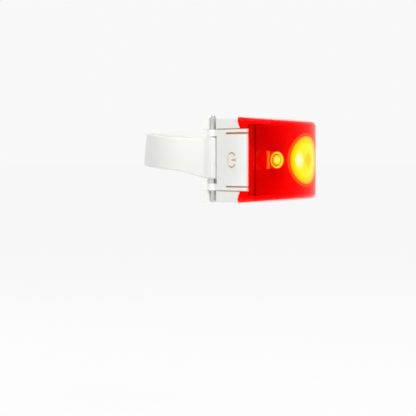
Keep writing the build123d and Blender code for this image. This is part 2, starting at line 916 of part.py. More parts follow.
chip_row = control_half_height - chip_row_inset
board_piece(
    "charge_chip",
    [(-chip_size, chip_row)],
    chip_height,
    lambda: Rectangle(chip_size, chip_size),
)
coil_side = plug_length / 2 - plug_side + chip_gap + coil_radius
board_piece("driver_coil", [(coil_side, -chip_row)], coil_height, lambda: Circle(coil_radius))
capacitor_side = port_face - port_depth - chip_gap
capacitor_row = [(capacitor_side - 2 * step * capacitor_length, 0) for step in range(4)]
board_piece(
    "board_capacitors",
    capacitor_row,
    capacitor_width,
    lambda: Rectangle(capacitor_length, capacitor_width),
)
board_piece(
    "board_header",
    [(chip_size / 2, chip_row)],
    led_board_back - control_front,
    lambda: Rectangle(header_length, header_width),
)
plug_spot = (-plug_side, -chip_row)
board_piece("battery_plug", [plug_spot], plug_height, lambda: Rectangle(plug_length, plug_width))


# Battery, the foam that holds it and its two leads

battery_width = 2 * (side_at(battery_back, cavity_inset) - battery_side_gap)
battery_height = cavity_half - battery_top_gap - battery_bottom
battery_middle = battery_bottom + battery_height / 2

with BuildPart() as battery:
    with BuildSketch(front_plane(battery_back)):
        with Locations((0, battery_middle)):
            RectangleRounded(battery_width, battery_height, battery_edge)
    extrude(amount=battery_depth)
save(battery, "battery")

with BuildPart() as battery_foam:
    with BuildSketch(front_plane(battery_front + foam_clearance)):
        with Locations((0, battery_middle)):
            Rectangle(battery_width, battery_height)
    extrude(amount=tray_back - battery_front - 2 * foam_clearance)
save(battery_foam, "battery_foam")

lead_start = battery_back + battery_depth / 2
lead_end = control_front + plug_height / 2
plug_bottom = -chip_row - plug_width / 2
with BuildPart() as battery_leads:
    for step in (-1, 1):
        lead_side = step * lead_spacing / 2 - plug_side
        route = [
            (lead_side, -lead_start, battery_bottom),
            (lead_side, -lead_start, lead_height),
            (lead_side, -lead_end, lead_height),
            (lead_side, -lead_end, plug_bottom),
        ]
        with BuildLine() as path:
            FilletPolyline(*route, radius=lead_bend)
        with BuildSketch(Plane(origin=route[0], z_dir=(0, 0, -1))):
            Circle(lead_radius)
        sweep(path=path.wire())
save(battery_leads, "battery_leads")
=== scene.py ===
from math import asin, atan, copysign, cos, hypot, pi, radians, sin, sqrt

import bmesh
import bpy
from mathutils import Matrix, Vector


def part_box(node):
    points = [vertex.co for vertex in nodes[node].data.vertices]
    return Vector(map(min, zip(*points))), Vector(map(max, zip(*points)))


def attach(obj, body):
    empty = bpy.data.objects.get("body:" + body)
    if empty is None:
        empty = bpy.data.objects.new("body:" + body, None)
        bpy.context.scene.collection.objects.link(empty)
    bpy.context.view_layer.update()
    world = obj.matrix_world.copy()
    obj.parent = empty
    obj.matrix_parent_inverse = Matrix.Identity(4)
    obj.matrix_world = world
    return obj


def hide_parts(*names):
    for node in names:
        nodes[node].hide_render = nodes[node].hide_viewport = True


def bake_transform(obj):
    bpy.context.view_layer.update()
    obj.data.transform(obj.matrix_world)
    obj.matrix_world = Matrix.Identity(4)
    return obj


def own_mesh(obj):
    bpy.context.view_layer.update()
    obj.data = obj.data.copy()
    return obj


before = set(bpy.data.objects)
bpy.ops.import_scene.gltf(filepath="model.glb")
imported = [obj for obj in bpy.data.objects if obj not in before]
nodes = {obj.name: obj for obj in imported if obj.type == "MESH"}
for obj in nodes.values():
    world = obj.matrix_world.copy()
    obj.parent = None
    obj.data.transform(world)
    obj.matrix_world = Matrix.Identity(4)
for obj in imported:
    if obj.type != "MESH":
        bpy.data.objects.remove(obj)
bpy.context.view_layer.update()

# Units and shared small sizes, in metres
mm = 0.001
merge_reach = 0.002 * mm
flat_turn = radians(1)
crisp_turn = radians(28)

# Where the lens shines
lens_rim_rise = 12.9 * mm
lens_rim_slope = 0.09
lens_crease_ahead = 37.9 * mm
lens_front_ahead = 44.0 * mm
nose_arc_ahead = 24.84 * mm
nose_inner_radius = 23.06 * mm
disc_radius = 9.95 * mm
pale_highlight_side = 4.3 * mm
dim_core_side = 1.5 * mm
patch_height_share = 0.75

# Where the optics shine
big_optic_radius = 8.8 * mm
big_optic_rim_back = 44.15 * mm
small_optic_radius = 3.15 * mm
small_optic_side = 11.73 * mm
small_optic_ahead = 42.22 * mm
small_optic_turn = radians(22)
lit_flank_turn = radians(30)
lit_flank_reach = 27.7 * mm

# Skin of the shell, and the gaps in it
flank_flare = 0.492
flank_start = 5.25 * mm
strip_flare = 0.06
strip_start = 18.64 * mm
front_edge = 35.45 * mm
hook_ahead = 19.0 * mm
plate_gap_rise = 11.28 * mm
slit_rise = 9.7 * mm
slit_back = 24.0 * mm

# Sizes of the strap, which goes round the gripped axis
grip_radius = 15.8 * mm
grip_tilt = radians(5.7)
strap_thickness = 2.4 * mm
strap_width = 12.3 * mm
strap_rise = 2.5 * mm
eye_radius = 2.4 * mm
eye_width = 15.3 * mm
eye_rise = 0.75 * mm
eye_tip = 0.1 * mm
strap_corner = 0.75 * mm
swell_length_share = 1.6
taper_share = 0.85
corner_share = 0.49
tip_angles = range(88, 0, -11)
ring_steps = 24
arm_steps = 16
bend_steps = 24

# Sizes of the ribbed pad
pad_thickness = 1.2 * mm
pad_width = 16.4 * mm
pad_height = 25.0 * mm
pad_groove = 0.5 * mm
pad_ribs = 13
pad_steps = 24

# Between the battery's two leads, and from track to track on the boards
lead_middle = -5.63 * mm
track_pitch = 0.9 * mm


# Shader maths

class Wire:
    """An output socket of a material; sums and products of wires add nodes."""

    def __init__(self, tree, socket=None):
        self.tree = tree
        self.socket = socket

    def node(self, kind, inputs=None, out=0, **settings):
        """A new node with its settings and then its sockets filled."""
        made = self.tree.nodes.new(kind)
        for name, value in settings.items():
            if name == "stops":
                ramp = made.color_ramp.elements
                while len(ramp) < len(value):
                    ramp.new(1)
                for stop, (place, shade) in zip(ramp, value):
                    stop.position = place
                    stop.color = shade
            else:
                setattr(made, name, value)
        for key, value in (inputs or {}).items():
            if isinstance(value, Wire):
                self.tree.links.new(value.socket, made.inputs[key])
            else:
                made.inputs[key].default_value = value
        return Wire(self.tree, made.outputs[out] if made.outputs else None)

    def maths(self, operation, first, second=0.0):
        """One Math node."""
        return self.node("ShaderNodeMath", {0: first, 1: second}, operation=operation)

    def __add__(self, other):
        return self.maths("ADD", self, other)

    __radd__ = __add__

    def __mul__(self, other):
        return self.maths("MULTIPLY", self, other)

    __rmul__ = __mul__

    def __sub__(self, other):
        return self.maths("SUBTRACT", self, other)

    def __rsub__(self, other):
        return self.maths("SUBTRACT", other, self)

    def __truediv__(self, other):
        return self.maths("DIVIDE", self, other)

    def __pow__(self, other):
        return self.maths("POWER", self, other)

    def __abs__(self):
        return self.maths("ABSOLUTE", self)

    def smooth(self, low, high, start=0.0, end=1.0):
        """Runs from start to end, softly, while this value goes from low to high."""
        return self.node(
            "ShaderNodeMapRange",
            {0: self, 1: low, 2: high, 3: start, 4: end},
            interpolation_type="SMOOTHSTEP",
        )


def colour(red, green, blue):
    """A colour that hides what is behind it."""
    return (red, green, blue, 1.0)


def grey_of(level):
    return colour(level, level, level)


def new_surface(name):
    """A material with an empty tree, a wire to start from and its object coordinates."""
    material = bpy.data.materials.new(name)
    material.use_nodes = True
    material.node_tree.nodes.clear()
    start = Wire(material.node_tree)
    place = start.node("ShaderNodeTexCoord", out="Object")
    return material, start, place


def finish_surface(material, start, sockets):
    """The shader that the material ends in."""
    shader = start.node("ShaderNodeBsdfPrincipled", sockets)
    start.node("ShaderNodeOutputMaterial", {"Surface": shader})
    return material


def mix_colours(start, factor, first, second):
    """The first colour where the factor is none, and the second where it is one."""
    return start.node("ShaderNodeMix", {0: factor, 6: first, 7: second}, out=2, data_type="RGBA")


def noise(start, place, scale, detail=2.0, roughness=0.5):
    """Soft mottling from 0 to 1, with its number of grains to a metre."""
    sockets = {"Vector": place, "Scale": scale, "Detail": detail, "Roughness": roughness}
    return start.node("ShaderNodeTexNoise", sockets)


def bump(start, height, depth):
    """Relief of a depth, where the height goes from 0 to 1."""
    return start.node("ShaderNodeBump", {"Height": height, "Distance": depth}, out="Normal")


def stretched(start, place, scales):
    """Coordinates scaled unevenly, for grain that runs one way."""
    return start.node("ShaderNodeMapping", {"Vector": place, "Scale": scales})


def axes_of(start, place, axes="XYZ"):
    """The named coordinates, each as a wire."""
    return [start.node("ShaderNodeSeparateXYZ", {"Vector": place}, out=axis) for axis in axes]


def near(value, middle, reach):
    """One where a value is close to a middle, and none further off than its reach."""
    return abs(value - middle).smooth(reach * 0.4, reach, 1.0, 0.0)


def from_line(start, place, centre, axis):
    """How far along a line a point lies, and how far from it."""
    apart = start.node("ShaderNodeVectorMath", {0: place, 1: centre}, operation="SUBTRACT")
    along = start.node(
        "ShaderNodeVectorMath", {0: apart, 1: axis}, out="Value", operation="DOT_PRODUCT"
    )
    whole = start.node("ShaderNodeVectorMath", {0: apart}, out="Value", operation="LENGTH")
    return along, (whole * whole - along * along) ** 0.5


def distance_of(start, first, second):
    """Distance made of two offsets at right angles."""
    offsets = start.node("ShaderNodeCombineXYZ", {"X": first, "Y": second})
    return start.node("ShaderNodeVectorMath", {0: offsets}, out="Value", operation="LENGTH")


def mirrored_sides(start, place):
    """Coordinates in which both sides of the light are the same."""
    return start.node("ShaderNodeVectorMath", {0: place}, operation="ABSOLUTE")


def glow_colours(start, value, stops):
    """Colours that follow a value from stop to stop."""
    return start.node("ShaderNodeValToRGB", {"Fac": value}, stops=stops)


# Materials

def moulded_shell():
    """Warm white plastic: fine grain, painted tan shade along the plate's gaps, painted amber light
    and shade at its slits, and painted red glow from the lens at its front.
    """
    material, start, place = new_surface("moulded_shell")
    side, ahead, rise = axes_of(start, mirrored_sides(start, place))
    height = axes_of(start, place, "Z")[0]
    clouds = noise(start, place, 90, 3)
    grain = noise(start, place, 5200, 2)
    specks = noise(start, place, 1500, 1)
    tan_gap_shade = colour(0.55, 0.36, 0.22)
    lens_glow_pink = colour(0.9, 0.42, 0.32)
    slit_glow_brown = colour(0.5, 0.21, 0.05)
    amber = colour(0.3, 0.09, 0.01)
    tone = mix_colours(start, clouds, colour(0.82, 0.825, 0.79), colour(0.86, 0.86, 0.83))

    flank_skin = ahead * flank_flare + flank_start
    strip_skin = ahead * strip_flare + strip_start
    depth = start.maths("MINIMUM", flank_skin, strip_skin) - side
    under = depth.smooth(0.25 * mm, 0.8 * mm)
    # Painted shade: tan along the plate's top and bottom gaps, mottled, on the skin only and
    # forward of the hooks.
    gap_shade = near(rise, plate_gap_rise, 0.3 * mm) * clouds.smooth(0.25, 0.6, 0.4, 0.9)
    gap_shade = gap_shade * ahead.smooth(hook_ahead, hook_ahead + 1 * mm) * (1 - under)
    tone = mix_colours(start, gap_shade, tone, tan_gap_shade)
    # Painted red glow from the lens on the shell just behind its front edge.
    lens_glow_spill = ahead.smooth(front_edge - 1.1 * mm, front_edge - 0.2 * mm, 0.0, 0.5)
    tone = mix_colours(start, lens_glow_spill, tone, lens_glow_pink)

    # Painted amber-brown light and shade on the slits' edges, weaker at the lower slit.
    past_root = ahead.smooth(slit_back, slit_back + 1 * mm)
    along_slit = past_root * height.smooth(-1 * mm, 1 * mm, 0.35, 1.0)
    slit_glow_edge = near(rise, slit_rise, 0.48 * mm) * along_slit
    tone = mix_colours(start, slit_glow_edge, tone, slit_glow_brown)
    lit = near(rise, slit_rise, 0.6 * mm) * along_slit * under
    return finish_surface(
        material,
        start,
        {
            "Base Color": mix_colours(start, lit, tone, amber),
            "Roughness": clouds.smooth(0.3, 0.7, 0.36, 0.46),
            "Normal": bump(start, grain * 0.7 + specks * 0.3, 0.012 * mm),
            "IOR": 1.5,
            "Emission Color": mix_colours(start, lit, grey_of(0), amber),
            "Emission Strength": 1.0,
        },
    )


def silicone():
    """Matt silicone, a little translucent, with faint dust and a soft skin."""
    material, start, place = new_surface("strap_silicone")
    clouds = noise(start, place, 120, 3)
    dust = noise(start, place, 2600, 4, 0.7)
    tone = mix_colours(start, clouds, colour(0.74, 0.75, 0.72), colour(0.77, 0.77, 0.745))
    tone = mix_colours(start, dust.smooth(0.62, 0.75, 0, 0.35), tone, colour(0.78, 0.77, 0.73))
    return finish_surface(
        material,
        start,
        {
            "Base Color": tone,
            "Roughness": dust.smooth(0.3, 0.7, 0.5, 0.62),
            "Normal": bump(start, dust, 0.01 * mm),
            "Subsurface Weight": 0.12,
            "Subsurface Radius": (1.0, 0.9, 0.8),
            "Subsurface Scale": 0.8 * mm,
            "Sheen Weight": 0.1,
        },
    )


def drawn_steel(name, stretch):
    """Bright steel with fine marks along the way it was drawn."""
    material, start, place = new_surface(name)
    marks = noise(start, stretched(start, place, stretch), 1, 3)
    tone = mix_colours(start, marks, colour(0.66, 0.67, 0.68), colour(0.94, 0.94, 0.93))
    return finish_surface(
        material,
        start,
        {
            "Base Color": tone,
            "Metallic": 1.0,
            "Roughness": marks.smooth(0.3, 0.7, 0.12, 0.26),
            "Normal": bump(start, marks, 0.003 * mm),
        },
    )


def disc_shine(start, from_axis, button_way, height):
    """Painted glow of the lit disc: its rings, a pale painted highlight on the button side and a
    dimmer core.
    """
    rings = glow_colours(
        start,
        from_axis / disc_radius,
        [
            (0.0, colour(0.08, 0.66, 0.0)),
            (0.29, colour(0.08, 0.8, 0.03)),
            (0.6, colour(0.08, 0.84, 0.03)),
            (0.7, colour(0.08, 0.68, 0.0)),
            (0.82, colour(0.08, 0.58, 0.0)),
            (0.87, colour(0.06, 0.3, 0.0)),
            (0.9, colour(0.04, 0.05, 0.0)),
            (0.93, colour(0.04, 0.04, 0.0)),
            (0.95, colour(0.05, 0.1, 0.0)),
            (0.98, colour(0.05, 0.09, 0.0)),
            (1.0, colour(0.02, 0.0, 0.0)),
        ],
    )
    off_core = distance_of(start, button_way - dim_core_side, height * patch_height_share)
    core = off_core.smooth(0.8 * mm, 2.8 * mm, 0.95, 0.0)
    shine = mix_colours(start, core, rings, colour(0.08, 0.55, 0.0))
    # Painted highlight: a pale spot on the button side of the disc.
    off_highlight = distance_of(start, button_way + pale_highlight_side, height * patch_height_share)
    pale_highlight = off_highlight.smooth(0.4 * mm, 2.7 * mm, 1.0, 0.0)
    return mix_colours(start, pale_highlight, shine, colour(0.08, 1.0, 1.0))


def red_shine(start, past_crease, rise, height, halo):
    """Red light in the lens: more at the front, the strips, the rims and round the disc."""
    body = past_crease.smooth(1.5 * mm, 9 * mm, 0.0047, 0.0247)
    body = body + rise.smooth(0, 9 * mm, 0.006, 0.0)
    body = body + height.smooth(-6 * mm, 6 * mm, 0.004, 0.0)
    strip = past_crease.smooth(-1.0 * mm, -0.7 * mm, 0.014, 0.0)
    level = rise + past_crease * lens_rim_slope
    rim = level.smooth(lens_rim_rise, lens_rim_rise + 0.6 * mm, 0.0, 0.03)
    return start.node("ShaderNodeCombineXYZ", {"X": body + strip + rim + halo})


def red_lens():
    """Clear red plastic, lit from inside, with painted glow: yellow painted on its inner nose where
    the big optic shines through it.
    """
    material, start, place = new_surface("red_lens")
    from_axis = from_line(start, place, (0, 0, 0), (0, -1, 0))[1]
    button_way, height = axes_of(start, place, "XZ")
    side, ahead, rise = axes_of(start, mirrored_sides(start, place))
    ripple = noise(start, place, 240, 2)
    past_crease = ahead - lens_crease_ahead
    front = ahead.smooth(lens_front_ahead, lens_front_ahead + 1.5 * mm)
    halo = from_axis.smooth(disc_radius, disc_radius + 4 * mm, 0.03, 0.0) * front

    nose_reach = distance_of(start, ahead - nose_arc_ahead, side)
    inner = nose_reach.smooth(nose_inner_radius + 0.4 * mm, nose_inner_radius + 0.8 * mm, 1.0, 0.0)
    # Painted yellow glow: the disc's colours are painted on the inner nose surface as emission.
    shown = from_axis.smooth(disc_radius, disc_radius * 1.02, 1.0, 0.0) * front * inner
    red = red_shine(start, past_crease, rise, height, halo)
    shine = disc_shine(start, from_axis, button_way, height)

    # Painted shade: a darker red tint in two lines along the crease, but not on the inner nose.
    crease_shade = near(past_crease, -0.5 * mm, 0.35 * mm) * 0.4 + near(past_crease, 0.35 * mm, 0.4 * mm)
    crease_shade = crease_shade * (1 - inner)
    clear = mix_colours(start, crease_shade, colour(0.86, 0.012, 0.004), colour(0.2, 0.003, 0.001))
    return finish_surface(
        material,
        start,
        {
            "Base Color": clear,
            "Roughness": ripple.smooth(0.3, 0.7, 0.015, 0.05),
            "Transmission Weight": 1.0,
            "IOR": 1.49,
            "Specular Tint": colour(1.0, 0.03, 0.02),
            "Emission Color": mix_colours(start, shown, red, shine),
            "Emission Strength": 10.0,
            "Normal": bump(start, ripple, 0.02 * mm),
        },
    )


def big_optic_glow():
    """The big optic: a bright front that the lens turns to red, and deep red flanks."""
    material, start, place = new_surface("big_optic_glow")
    forward, from_axis = from_line(start, place, (0, 0, 0), (0, -1, 0))
    rings = glow_colours(
        start,
        from_axis / big_optic_radius,
        [
            (0.0, colour(0.06, 0.1, 0.0)),
            (0.3, colour(0.1, 0.2, 0.02)),
            (0.7, colour(0.1, 0.16, 0.0)),
            (0.92, colour(0.06, 0.02, 0.0)),
        ],
    )
    front = forward.smooth(big_optic_rim_back + 0.9 * mm, big_optic_rim_back + 1.2 * mm)
    light = mix_colours(start, front, colour(0.004, 0.0, 0.0), rings)
    return finish_surface(
        material,
        start,
        {
            "Base Color": colour(0.3, 0.03, 0.01),
            "Roughness": noise(start, place, 900).smooth(0.3, 0.7, 0.1, 0.2),
            "Emission Color": light,
            "Emission Strength": 10.0,
        },
    )


def small_optic_glow():
    """The small optics: a yellow ring and middle with orange between, and a lit flank."""
    material, start, place = new_surface("small_optic_glow")
    folded = mirrored_sides(start, place)
    spot = (small_optic_side, small_optic_ahead, 0)
    facing = (sin(small_optic_turn), cos(small_optic_turn), 0)
    along, from_axis = from_line(start, folded, spot, facing)
    rings = glow_colours(
        start,
        from_axis / small_optic_radius,
        [
            (0.0, colour(0.025, 0.56, 0.2)),
            (0.28, colour(0.025, 0.5, 0.14)),
            (0.48, colour(0.025, 0.42, 0.03)),
            (0.59, colour(0.02, 0.08, 0.0)),
            (0.74, colour(0.02, 0.07, 0.0)),
            (0.8, colour(0.025, 0.46, 0.05)),
            (0.89, colour(0.025, 0.46, 0.05)),
            (0.95, colour(0.02, 0.02, 0.0)),
        ],
    )
    front = along.smooth(-0.75 * mm, -0.65 * mm)
    side, ahead = axes_of(start, folded, "XY")
    reach = ahead * cos(lit_flank_turn) - side * sin(lit_flank_turn)
    flank = near(reach, lit_flank_reach, 0.65 * mm)
    edge = mix_colours(start, flank, colour(0.003, 0.0, 0.0), colour(0.02, 0.1, 0.0))
    return finish_surface(
        material,
        start,
        {
            "Base Color": colour(0.3, 0.03, 0.01),
            "Roughness": noise(start, place, 900).smooth(0.3, 0.7, 0.1, 0.2),
            "Emission Color": mix_colours(start, front, edge, rings),
            "Emission Strength": 150.0,
        },
    )


def plain_moulding(name, dark, light, rough, scale=700, depth=0.02):
    """Small plastic or ceramic part, mottled between two near tones, with a fine grain."""
    material, start, place = new_surface(name)
    mottle = noise(start, place, scale, 3)
    return finish_surface(
        material,
        start,
        {
            "Base Color": mix_colours(start, mottle, dark, light),
            "Roughness": mottle.smooth(0.3, 0.7, rough * 0.9, rough * 1.1),
            "Normal": bump(start, mottle, depth * mm),
        },
    )


def moulded_rubber(name, dark, light):
    """Matt rubber with dust in a fine grain."""
    material, start, place = new_surface(name)
    clouds = noise(start, place, 260, 3)
    grain = noise(start, place, 3800, 3, 0.6)
    tone = mix_colours(start, clouds, dark, light)
    tone = mix_colours(start, grain.smooth(0.6, 0.75, 0.0, 0.4), tone, colour(0.3, 0.29, 0.27))
    return finish_surface(
        material,
        start,
        {
            "Base Color": tone,
            "Roughness": grain.smooth(0.3, 0.7, 0.55, 0.75),
            "Normal": bump(start, grain, 0.02 * mm),
        },
    )


def circuit_board():
    """Green solder mask over copper tracks, with tinned holes."""
    material, start, place = new_surface("circuit_board")
    across, up = axes_of(start, place, "XZ")
    flat = start.node("ShaderNodeCombineXYZ", {"X": across, "Y": up})
    patches = start.node(
        "ShaderNodeTexVoronoi", {"Vector": flat, "Scale": 190.0}, out="Color", distance="CHEBYCHEV"
    )
    pale_highlight = axes_of(start, patches, "X")[0]
    level, upright = (
        start.maths("PINGPONG", way, track_pitch / 2).smooth(0.1 * mm, 0.16 * mm, 1.0, 0.0)
        for way in (up, across)
    )
    tracks = level * pale_highlight.smooth(0.6, 0.61) + upright * pale_highlight.smooth(0.38, 0.39, 1.0, 0.0)
    holes = start.node("ShaderNodeTexVoronoi", {"Vector": flat, "Scale": 330.0}, out="Distance")
    tinned = holes.smooth(0.1, 0.14, 1.0, 0.0)
    mask = noise(start, place, 400, 2)
    tone = mix_colours(start, mask, colour(0.01, 0.09, 0.035), colour(0.015, 0.13, 0.05))
    tone = mix_colours(start, tracks, tone, colour(0.05, 0.3, 0.12))
    tone = mix_colours(start, tinned, tone, colour(0.7, 0.69, 0.66))
    return finish_surface(
        material,
        start,
        {
            "Base Color": tone,
            "Metallic": tinned,
            "Roughness": mask.smooth(0.3, 0.7, 0.25, 0.4),
            "Normal": bump(start, tracks, 0.03 * mm),
        },
    )


def foil_pouch():
    """Silver foil with the soft creases of a flat cell."""
    material, start, place = new_surface("foil_pouch")
    creases = noise(start, place, 320, 4, 0.6)
    weave = noise(start, place, 6000, 2)
    tone = mix_colours(start, creases, colour(0.5, 0.51, 0.54), colour(0.72, 0.73, 0.75))
    return finish_surface(
        material,
        start,
        {
            "Base Color": tone,
            "Metallic": 0.85,
            "Roughness": weave.smooth(0.3, 0.7, 0.3, 0.42),
            "Normal": bump(start, creases * 0.9 + weave * 0.1, 0.2 * mm),
        },
    )


def open_foam():
    """Black foam with open cells."""
    material, start, place = new_surface("open_foam")
    cells = start.node("ShaderNodeTexVoronoi", {"Vector": place, "Scale": 2400.0}, out="Distance")
    walls = cells.smooth(0.1, 0.6)
    tone = mix_colours(start, walls, grey_of(0.004), grey_of(0.06))
    return finish_surface(
        material,
        start,
        {
            "Base Color": tone,
            "Roughness": cells.smooth(0.1, 0.6, 0.95, 0.8),
            "Normal": bump(start, cells, 0.15 * mm),
        },
    )


def lead_wires():
    """Red and black insulation, a little glossy."""
    material, start, place = new_surface("lead_wires")
    across = axes_of(start, place, "X")[0]
    red = across.smooth(lead_middle - 0.05 * mm, lead_middle + 0.05 * mm)
    grain = noise(start, place, 2500, 2)
    tone = mix_colours(start, red, colour(0.02, 0.02, 0.022), colour(0.55, 0.02, 0.015))
    return finish_surface(
        material,
        start,
        {
            "Base Color": mix_colours(start, grain * 0.2, tone, colour(0.3, 0.2, 0.2)),
            "Roughness": grain.smooth(0.3, 0.7, 0.3, 0.42),
            "Normal": bump(start, grain, 0.01 * mm),
        },
    )


def lamp_phosphor():
    """Yellow phosphor under a clear skin."""
    material, start, place = new_surface("lamp_phosphor")
    grains = noise(start, place, 5200, 3)
    tone = mix_colours(start, grains, colour(0.9, 0.55, 0.06), colour(1.0, 0.72, 0.14))
    return finish_surface(
        material,
        start,
        {
            "Base Color": tone,
            "Roughness": grains.smooth(0.3, 0.7, 0.15, 0.3),
            "Emission Color": tone,
            "Emission Strength": 3.0,
            "Coat Weight": 0.6,
        },
    )


def symbol_inlay():
    """Tan inlay of the button's mark, paler towards its back edge."""
    material, start, place = new_surface("symbol_inlay")
    ahead = axes_of(start, mirrored_sides(start, place), "Y")[0]
    grain = noise(start, place, 2600, 3)
    paler_back = ahead.smooth(25.4 * mm, 27.0 * mm, 0.9, 0.0)
    tone = mix_colours(start, grain, colour(0.5, 0.22, 0.08), colour(0.56, 0.27, 0.12))
    tone = mix_colours(start, paler_back, tone, colour(0.76, 0.68, 0.58))
    return finish_surface(
        material,
        start,
        {
            "Base Color": tone,
            "Roughness": grain.smooth(0.3, 0.7, 0.3, 0.42),
            "Normal": bump(start, grain, 0.01 * mm),
        },
    )


shell_finish = moulded_shell()
strap_finish = silicone()
black_rubber = moulded_rubber("black_rubber", grey_of(0.02), grey_of(0.04))
lens_finish = red_lens()
black_moulding = plain_moulding(
    "black_moulding", colour(0.015, 0.015, 0.016), colour(0.035, 0.035, 0.037), 0.45
)


# Pieces

def linked(name, data):
    """A new object in the scene, at the origin."""
    thing = bpy.data.objects.new(name, data)
    bpy.context.scene.collection.objects.link(thing)
    return thing


def place_piece(name, mesh, finish, body, replaced=()):
    """Puts a finished bmesh into the scene as a piece that rides on a body."""
    data = bpy.data.meshes.new(name)
    mesh.to_mesh(data)
    mesh.free()
    data.materials.clear()
    data.materials.append(finish)
    data.shade_smooth()
    data.set_sharp_from_angle(angle=crisp_turn)
    piece = linked(name, data)
    if replaced:
        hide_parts(*replaced)
    if body:
        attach(piece, body)
    return piece


def merged_copy(node):
    """The mesh of a CAD part, joined up and with its flat faces whole."""
    mesh = bmesh.new()
    mesh.from_mesh(nodes[node].data)
    bmesh.ops.remove_doubles(mesh, verts=mesh.verts, dist=merge_reach)
    bmesh.ops.dissolve_limit(
        mesh, angle_limit=flat_turn, verts=mesh.verts, edges=mesh.edges, delimit={"NORMAL"}
    )
    return mesh


def weighted(piece):
    """Keeps big faces flat where their edges are rounded."""
    modifier = piece.modifiers.new("weighted", "WEIGHTED_NORMAL")
    modifier.keep_sharp = True
    return piece


def rounded_shell(name, node, body, finish, radius):
    """Moulded part with every sharp edge rounded over a little."""
    mesh = merged_copy(node)
    sharp = [
        edge for edge in mesh.edges
        if edge.is_manifold and edge.calc_face_angle() > crisp_turn
    ]
    bmesh.ops.bevel(
        mesh, geom=sharp, offset=radius, offset_type="OFFSET", segments=2, profile=0.5,
        affect="EDGES", clamp_overlap=True, material=-1,
    )
    return weighted(place_piece(name, mesh, finish, body, [node]))


rounded_shell("housing_shell", "rear_housing", "light", shell_finish, 0.14 * mm)
rounded_shell("near_plate", "button_plate", "buckle", shell_finish, 0.12 * mm)
rounded_shell("far_side_plate", "far_plate", "light", shell_finish, 0.12 * mm)
rounded_shell("button_tongue", "power_button", "button", shell_finish, 0.1 * mm)
rounded_shell("flap_cover", "port_flap", "flap", strap_finish, 0.15 * mm)
rounded_shell("lens_seal", "lens_gasket", "light", black_rubber, 0.1 * mm)
rounded_shell("foam_pad", "battery_foam", "light", open_foam(), 0.15 * mm)
seal_piece = rounded_shell("seal_membrane", "button_seal", "light", black_rubber, 0.1 * mm)
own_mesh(seal_piece)


# Strap: a rounded section carried round from one eye to the other

strap_middle = grip_radius + strap_thickness / 2
pin_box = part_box("hook_pin")
pin_centre = (pin_box[0] + pin_box[1]) / 2
pin_side, pin_ahead = -pin_centre.x, -pin_centre.y
pin_reach = hypot(pin_side, pin_ahead)
arm_length = sqrt(pin_reach**2 - strap_middle**2)
leave_turn = atan(pin_side / pin_ahead) + atan(arm_length / strap_middle)
grip_lean = Matrix.Rotation(grip_tilt, 4, "X")


def eased(share):
    """The share with a soft start and end, from 0 to 1."""
    share = min(max(share, 0.0), 1.0)
    return share * share * (3 - 2 * share)


def outward(turn, hand):
    """Direction away from the gripped axis, turned back from straight ahead."""
    return Vector((hand * sin(turn), -cos(turn), 0))


def strap_section(run):
    """Width and thickness of the strap at a distance from the eye's centre."""
    width = strap_width + (eye_width - strap_width) * (1 - eased(taper_share * run / arm_length))
    if run < 0:
        return width, 2 * sqrt(max(eye_radius**2 - run**2, eye_tip**2))
    left = 1 - eased(run / (swell_length_share * eye_radius))
    return width, strap_thickness + (2 * eye_radius - strap_thickness) * left


def strap_station(run, hand):
    """Place of the strap's section at a distance from the eye's centre along one side."""
    lift = Vector((0, 0, strap_rise))
    if run < arm_length:
        share = run / arm_length
        across = outward(leave_turn, hand)
        end = grip_lean @ (across * strap_middle + lift)
        spot = Vector((hand * pin_side, -pin_ahead, eye_rise)).lerp(end, share)
        spot.z = eye_rise + (end.z - eye_rise) * eased(share * (1 + share) / 2)
        upward = Vector((0, -sin(grip_tilt) * eased(share), 1)).normalized()
    else:
        flat = outward(leave_turn + (run - arm_length) / strap_middle, hand)
        spot = grip_lean @ (flat * strap_middle + lift)
        across = (grip_lean.to_3x3() @ flat).normalized()
        upward = (grip_lean.to_3x3() @ Vector((0, 0, 1))).normalized()
    along = upward.cross(across)
    return Matrix.Translation(spot) @ Matrix((across, along, upward)).transposed().to_4x4()


def strap_ring(mesh, run, hand):
    """Edges of one section: a circle with its quarters moved apart to the flat sides."""
    width, thickness = strap_section(run)
    corner = min(strap_corner, corner_share * thickness)
    half_step = Matrix.Rotation(pi / ring_steps, 4, "Z")
    upright = Matrix.Rotation(pi / 2, 4, "X")
    made = bmesh.ops.create_circle(
        mesh, cap_ends=False, segments=ring_steps, radius=corner, matrix=upright @ half_step
    )["verts"]
    for vert in made:
        vert.co.x += copysign(thickness / 2 - corner, vert.co.x)
        vert.co.z += copysign(width / 2 - corner, vert.co.z)
    bmesh.ops.transform(mesh, verts=made, matrix=strap_station(run, hand))
    return list({edge for vert in made for edge in vert.link_edges})


def strap_mesh():
    """The whole strap, its sections joined one to the next and closed at the eyes."""
    mesh = bmesh.new()
    bend = (pi - leave_turn) * strap_middle
    runs = [-eye_radius * sin(radians(angle)) for angle in tip_angles]
    runs += [arm_length * step / arm_steps for step in range(arm_steps)]
    runs += [arm_length + bend * step / bend_steps for step in range(bend_steps + 1)]
    rings = [strap_ring(mesh, run, -1) for run in runs]
    rings += [strap_ring(mesh, run, 1) for run in runs[-2::-1]]
    for ring, following in zip(rings, rings[1:]):
        bmesh.ops.bridge_loops(mesh, edges=ring + following)
    for ring in (rings[0], rings[-1]):
        bmesh.ops.contextual_create(mesh, geom=ring)
    bmesh.ops.recalc_face_normals(mesh, faces=mesh.faces)
    return mesh


strap = place_piece("silicone_strap", strap_mesh(), strap_finish, None, ["strap"])
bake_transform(strap)


# Ribbed pad in the hollow of the shell's back

